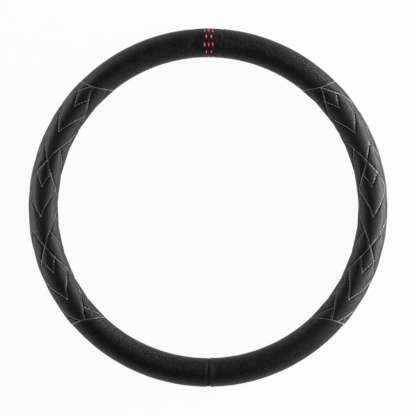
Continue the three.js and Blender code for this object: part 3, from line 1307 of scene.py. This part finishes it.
@dataclass
class Sewing:
    """All the thread: in the quilting, along the seams, in the centring mark and the hems."""

    repeater: Repeater
    grey: bpy.types.Material
    black: bpy.types.Material
    red: bpy.types.Material
    quilt_pitch: float = 3.3 * MM
    quilt_width: float = 0.85 * MM
    quilt_overlap: float = 1.04
    quilt_flatness: float = 0.8
    quilt_dip: float = 0.14 * MM
    side_seam_dip: float = 0.1 * MM
    side_seam_inset: float = 1.6 * MM
    side_seam_depth: float = 0.5 * MM
    side_seam_lift: float = 0.65 * MM
    side_seam_back: float = 0.4 * MM
    seam_pitch: float = 3.0 * MM
    seam_inset: float = 2.2 * MM
    seam_depth: float = 0.85 * MM
    seam_points: int = 240
    hem_pitch: float = 4.2 * MM
    hem_inset: float = 1.3 * MM
    hem_depth: float = 0.12 * MM
    hem_points: int = 1441
    # A little under the two rows between a column's stitches, so that no rounding drops the last
    marker_rows: float = 1.98

    def quilt_stitch(self, dip: float) -> bpy.types.Object:
        """Makes one stitch of the quilting thread, whose ends dip by the given depth."""
        width = self.quilt_width
        length = self.quilt_pitch * self.quilt_overlap
        return Strand(length, width, width * self.quilt_flatness, dip).build("quilt_stitch")

    def quilting(self, name: str, panel: QuiltedPanel, seed: int) -> bpy.types.Object:
        """Sews a quilted panel's lines.

        Args:
            name: the piece's name.
            panel: the panel.
            seed: the seed of the stitches' sizes.

        Returns:
            The stitches.
        """
        paths, part = panel.paths(self.quilt_width), self.quilt_stitch(self.quilt_dip)
        return self.repeater.along(
            name, paths, part, self.quilt_pitch, self.grey, spread=0.05, seed=seed
        )

    def side_seams(self, seams: Sequence[Seam]) -> bpy.types.Object:
        """Sews a line of the quilting thread along the crease beside each quilted panel.

        Args:
            seams: the seams.

        Returns:
            The stitches.
        """
        around = GRIP.arc(self.side_seam_inset, self.seam_points)
        # Proud at the sides, down in the crease on top, and clear of the floor behind
        radius = GRIP.radius - self.side_seam_depth + self.side_seam_lift * np.sin(around) ** 2
        radius -= self.side_seam_back * np.clip(-np.cos(around), 0, 1)
        paths = [Path.on_grip(seam.angle(around), around, radius) for seam in seams]
        part = self.quilt_stitch(self.side_seam_dip)
        return self.repeater.along(
            "side_seam_thread", paths, part, self.quilt_pitch, self.grey, spread=0.05, seed=6
        )

    def seams(self, seams: Sequence[Seam]) -> bpy.types.Object:
        """Sews the butt seams: short stitches that cross down in the crease.

        Args:
            seams: the seams.

        Returns:
            The stitches.
        """
        around = GRIP.arc(self.seam_inset, self.seam_points)
        radius = GRIP.radius - self.seam_depth
        paths = [Path.on_grip(seam.angle(around), around, radius) for seam in seams]
        part = Strand(
            length=self.seam_pitch * 0.9, width=0.5 * MM, thickness=0.45 * MM, dip=0.15 * MM
        ).build("seam_stitch")
        return self.repeater.along("seam_thread", paths, part, self.seam_pitch, self.black, seed=3)

    def hems(self) -> bpy.types.Object:
        """Sews the skin to the liner along both lips of the slit.

        Returns:
            The stitches.
        """
        ring = np.linspace(0, math.tau, self.hem_points)
        paths = [
            Path.on_grip(ring, np.full_like(ring, angle), GRIP.radius - self.hem_depth)
            for angle in GRIP.arc(self.hem_inset, 2)
        ]
        part = Strand(
            length=self.hem_pitch * 0.84, width=0.62 * MM, thickness=0.5 * MM, dip=0.35 * MM
        ).build("hem_stitch")
        return self.repeater.along(
            "hem_thread", paths, part, self.hem_pitch, self.black, spread=0.04, seed=4
        )

    def marker(self, panel: MarkerPanel) -> bpy.types.Object:
        """Sews the raised red stitches, which stand for the CAD ones.

        Args:
            panel: the centring panel.

        Returns:
            The stitches.
        """
        stitch = Strand(
            length=4.2 * MM,
            width=1.65 * MM,
            thickness=1.6 * MM,
            dip=0.45 * MM,
            lobe=0.09,
            twist_length=3.2 * MM,
            sides=24,
            rings=20,
        )
        part, pitch = stitch.build("marker_stitch"), self.marker_rows * panel.row_step
        made = self.repeater.along(
            "marker_stitches", panel.paths(), part, pitch, self.red, spread=0.03, seed=5
        )
        names = [
            f"marker_stitch_{row}_{column}"
            for row, (_, places) in enumerate(panel.stitch_rows(), start=1)
            for column in range(1, len(places) + 1)
        ]
        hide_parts(*names)
        return made


# The studio


@dataclass(frozen=True)
class SoftBox:
    """A soft box: where it stands, how large its face is, and its power."""

    name: str
    place: tuple[float, float, float]
    width: float
    height: float
    watts: float
    aim: tuple[float, float, float] = (0.0, 0.0, 0.015)

    def build(self) -> None:
        """Puts the lamp in the scene."""
        lamp = bpy.data.lights.new(self.name, "AREA")
        lamp.shape = "RECTANGLE"
        lamp.size, lamp.size_y, lamp.energy = self.width, self.height, self.watts
        made = bpy.data.objects.new(self.name, lamp)
        made.location = self.place
        towards = Vector(self.aim) - Vector(self.place)
        made.rotation_euler = towards.to_track_quat("-Z", "Y").to_euler()
        bpy.context.scene.collection.objects.link(made)


@dataclass
class Studio:
    """A white paper floor, soft boxes on both sides, and a camera straight above."""

    frame_px: int = 416
    outer_radius: float = 190 * MM
    outer_radius_px: float = 179.2
    centre_px: tuple[float, float] = (208.03, 207.65)
    lens_mm: float = 500.0
    sensor_mm: float = 36.0
    floor_radius: float = 12.0
    wall_top: float = 0.2
    world_level: float = 0.12
    boxes: list[SoftBox] = field(
        default_factory=lambda: [
            SoftBox("right strip box", (0.986, 0.139, 0.116), 1.39, 0.167, 16.0),
            SoftBox("low right strip box", (0.986, 0.139, 0.045), 1.39, 0.08, 14.0),
            SoftBox("high right box", (0.637, 0.090, 0.781), 0.9, 0.353, 3.2),
            SoftBox("left strip box", (-0.968, 0.241, 0.05), 1.4, 0.09, 11.0),
        ]
    )

    def build(self) -> None:
        """Makes the floor, the lights, the world and the camera."""
        self.floor()
        for box in self.boxes:
            box.build()
        self.world()
        self.camera()
        bpy.context.scene.view_settings.view_transform = "Standard"

    def floor(self) -> None:
        """Lays the paper floor."""
        around = np.linspace(0, math.tau, 129)[:-1]
        points = self.floor_radius * np.stack([np.cos(around), np.sin(around), 0 * around], -1)
        made = mesh_object("floor", points, [tuple(range(len(points)))])
        made.data.materials.append(FloorFinish().material())

    def world(self) -> None:
        """Fills the surroundings: low white walls to look at, and a soft fill as light."""
        world = bpy.data.worlds.new("white studio")
        world.use_nodes = True
        world.node_tree.nodes.clear()
        add = partial(add_node, world.node_tree)
        view = add("ShaderNodeTexCoord").outputs["Generated"]
        height = add("ShaderNodeSeparateXYZ", {0: view}).outputs["Z"]
        wall = add(
            "ShaderNodeMapRange",
            {"Value": height, "From Min": self.wall_top, "From Max": self.wall_top / 2},
        )
        seen = add("ShaderNodeMath", {0: seen_as_background(add), 1: wall}, operation="MULTIPLY")
        level = add(
            "ShaderNodeMapRange", {"Value": seen, "To Min": self.world_level, "To Max": 1.0}
        )
        sky = add("ShaderNodeBackground", {"Color": linear("#ffffff"), "Strength": level})
        add("ShaderNodeOutputWorld", {"Surface": sky})
        bpy.context.scene.world = world

    def camera(self) -> None:
        """Sets the camera straight above, with the ring where the photograph has it."""
        pixel = self.outer_radius / self.outer_radius_px
        distance = self.frame_px * pixel * self.lens_mm / self.sensor_mm
        made = bpy.data.objects.new("camera", bpy.data.cameras.new("camera"))
        made.data.lens, made.data.sensor_width = self.lens_mm, self.sensor_mm
        made.data.clip_end = 50.0
        middle = self.frame_px / 2
        made.location = (
            (middle - self.centre_px[0]) * pixel,
            (self.centre_px[1] - middle) * pixel,
            distance + GRIP.centre,
        )
        bpy.context.scene.collection.objects.link(made)
        bpy.context.scene.camera = made


def skin_panels(smooth: bpy.types.Material, quilted: bpy.types.Material) -> list[SkinPanel]:
    """Lists the seven panels, anticlockwise from the centring panel.

    Args:
        smooth: the plain leather.
        quilted: the quilted leather.

    Returns:
        The panels.
    """
    # Heights of the lips that differ: the bottom seam steps up from left to right
    sunk, tucked, proud = -0.7 * MM, -0.25 * MM, 0.38 * MM
    plain = ("smooth_leather", smooth)
    padded = ("quilted_leather", quilted)
    return [
        MarkerPanel("centre_mark_skin", MARKER_RIGHT, MARKER_LEFT, "marker_panel", *plain),
        SkinPanel(
            "top_left_skin", MARKER_LEFT, LEFT_TOP, "top_left_panel", *plain, start_lip=tucked
        ),
        QuiltedPanel(
            "left_quilted_skin",
            LEFT_TOP,
            LEFT_BOTTOM,
            "left_quilted_panel",
            *padded,
            direction=Mirror.ANTICLOCKWISE,
            row_angle=math.radians(11.5),
            row_twist=math.radians(2),
        ),
        SkinPanel(
            "bottom_left_skin", LEFT_BOTTOM, BOTTOM, "bottom_left_panel", *plain, end_lip=sunk
        ),
        SkinPanel(
            "bottom_right_skin", BOTTOM, RIGHT_BOTTOM, "bottom_right_panel", *plain, start_lip=proud
        ),
        QuiltedPanel(
            "right_quilted_skin",
            RIGHT_BOTTOM,
            RIGHT_TOP_AFTER,
            "right_quilted_panel",
            *padded,
            direction=Mirror.CLOCKWISE,
            row_angle=math.radians(3.6),
            row_twist=math.radians(20),
            row_bow=math.radians(20),
        ),
        SkinPanel("top_right_skin", RIGHT_TOP, MARKER_RIGHT, "top_right_panel", *plain),
    ]


def main() -> None:
    """Builds the studio and the cover."""
    logging.basicConfig(level=logging.INFO)
    Studio().build()
    smooth = LeatherFinish("microfibre leather", "#010101", "#262427", "#242325").material()
    quilted = LeatherFinish(
        "quilted microfibre leather", "#010101", "#232224", "#222123"
    ).material()
    rubber = RubberFinish("moulded rubber", "#121213", "#1d1c1b").material()
    grey = ThreadFinish(
        "grey sewing thread", "#68686b", "#aeaeb2", roughness=0.32, specular=0.9
    ).material()
    black = ThreadFinish("black sewing thread", "#0a0a0b", "#161617").material()
    red = ThreadFinish("red embroidery thread", "#cc2842", "#ff5874").material()

    repeater = Repeater()
    liner = Liner(rubber)
    ring = liner.build()
    liner.ribs(repeater)
    sewing = Sewing(repeater, grey, black, red)
    for number, panel in enumerate(skin_panels(smooth, quilted)):
        made = panel.build()
        sewn = []
        if isinstance(panel, QuiltedPanel):
            name = panel.name.replace("_skin", "_thread")
            sewn.append(sewing.quilting(name, panel, seed=10 + number))
        if isinstance(panel, MarkerPanel):
            sewn.append(sewing.marker(panel))
        panel.declare(made, ring, sewn)
        log.info("%s: %d faces", panel.name, len(made.data.polygons))
    sewing.seams(
        [MARKER_RIGHT, MARKER_LEFT, LEFT_TOP, LEFT_BOTTOM, BOTTOM, RIGHT_BOTTOM, RIGHT_TOP]
    )
    sewing.side_seams([LEFT_TOP, LEFT_BOTTOM, RIGHT_BOTTOM, RIGHT_TOP])
    sewing.hems()


if __name__ == "__main__":
    main()
